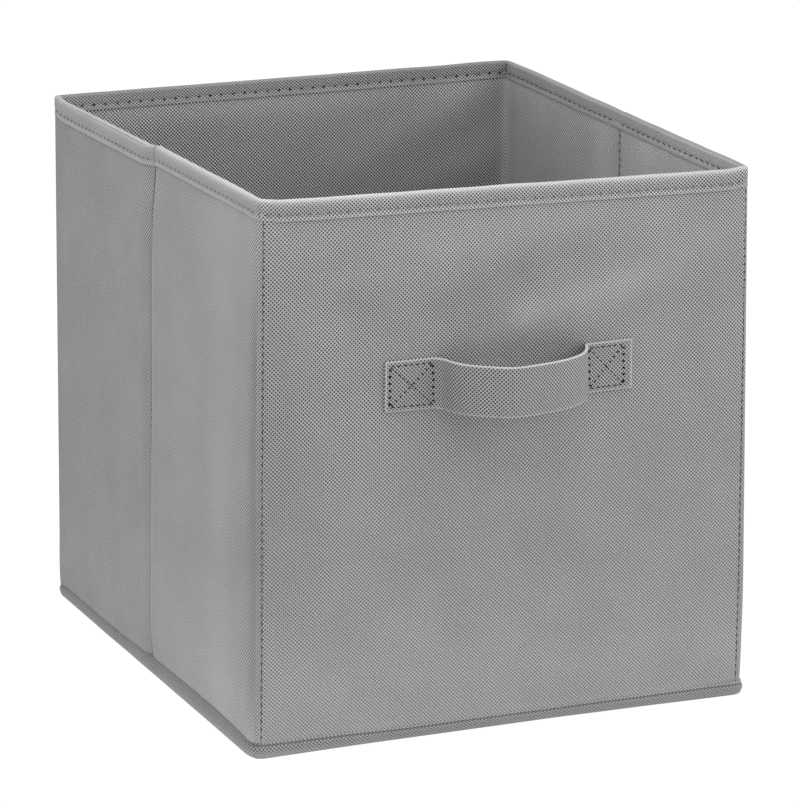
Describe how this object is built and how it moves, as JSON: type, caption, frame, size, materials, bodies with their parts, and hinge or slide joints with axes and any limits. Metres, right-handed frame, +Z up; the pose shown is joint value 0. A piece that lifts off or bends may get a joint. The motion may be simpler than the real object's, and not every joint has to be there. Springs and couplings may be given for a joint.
{
  "type": "fabric storage bin",
  "caption": "Collapsible open-top cube bin of board-stiffened non-woven cloth, with a sewn strap pull on the front, bound rim, creased folding sides and a loose covered base board",
  "frame": {"origin": "middle of the base's underside, on the floor", "axes": "+X to the bin's right seen from the front, +Y to the back, +Z up; the handle is on the -Y side"},
  "size_m": [0.2694, 0.2971, 0.279],
  "materials": {
    "cloth": "matte",
    "lining": "matte",
    "binding": "matte",
    "strap": "matte",
    "thread": "matte",
    "greyboard": "matte"
  },
  "bodies": {
    "front_and_base": {"front_outer_panel": "cloth", "front_board": "greyboard", "front_lining": "lining", "front_rim_binding": "binding", "front_rim_stitching": "thread", "front_corner_stitching": "thread", "handle_left_end": "strap", "handle_right_end": "strap", "handle_left_stitching": "thread", "handle_right_stitching": "thread", "base_panel": "cloth", "base_welt": "binding"},
    "handle": {"handle_loop": "strap"},
    "left_front": {"left_front_outer_panel": "cloth", "left_front_board": "greyboard", "left_front_lining": "lining", "left_front_rim_binding": "binding", "left_front_rim_stitching": "thread"},
    "left_rear": {"left_rear_outer_panel": "cloth", "left_rear_board": "greyboard", "left_rear_lining": "lining", "left_rear_rim_binding": "binding", "left_rear_rim_stitching": "thread", "left_crease_stitching": "thread"},
    "right_front": {"right_front_outer_panel": "cloth", "right_front_board": "greyboard", "right_front_lining": "lining", "right_front_rim_binding": "binding", "right_front_rim_stitching": "thread"},
    "right_rear": {"right_rear_outer_panel": "cloth", "right_rear_board": "greyboard", "right_rear_lining": "lining", "right_rear_rim_binding": "binding", "right_rear_rim_stitching": "thread", "right_crease_stitching": "thread"},
    "back_wall": {"back_outer_panel": "cloth", "back_board": "greyboard", "back_lining": "lining", "back_rim_binding": "binding", "back_rim_stitching": "thread", "back_corner_stitching": "thread"},
    "base_insert": {"insert_board": "greyboard", "insert_top_cover": "cloth", "insert_bottom_cover": "cloth"}
  },
  "joints": [
    {"name": "fold", "type": "hinge", "parent": "front_and_base", "child": "left_front", "pos_m": [-0.1293, -0.1293, 0], "axis": [0, 0, -1], "range_deg": [0, 90], "deforming": ["base_panel", "base_welt"]},
    {"name": "left_crease", "type": "hinge", "parent": "left_front", "child": "left_rear", "pos_m": [-0.1345, 0, 0], "axis": [0, 0, -1], "range_deg": [-180, 0]},
    {"name": "rear_left_corner", "type": "hinge", "parent": "left_rear", "child": "back_wall", "pos_m": [-0.1293, 0.1293, 0], "axis": [0, 0, -1], "range_deg": [0, 90]},
    {"name": "front_right_corner", "type": "hinge", "parent": "front_and_base", "child": "right_front", "pos_m": [0.1293, -0.1293, 0], "axis": [0, 0, -1], "range_deg": [-90, 0]},
    {"name": "right_crease", "type": "hinge", "parent": "right_front", "child": "right_rear", "pos_m": [0.1345, 0, 0], "axis": [0, 0, -1], "range_deg": [0, 180]},
    {"name": "handle_swing", "type": "hinge", "parent": "front_and_base", "child": "handle", "pos_m": [0, -0.1335, 0.182], "axis": [1, 0, 0], "range_deg": [-40, 40]},
    {"name": "insert_lift", "type": "slide", "parent": "front_and_base", "child": "base_insert", "axis": [0, 0, 1], "range_m": [0, 0.3]}
  ],
  "couplings": [
    {"joint": "left_crease", "follows": "fold", "ratio": -2},
    {"joint": "rear_left_corner", "follows": "fold", "ratio": 1},
    {"joint": "front_right_corner", "follows": "fold", "ratio": -1},
    {"joint": "right_crease", "follows": "fold", "ratio": 2}
  ]
}
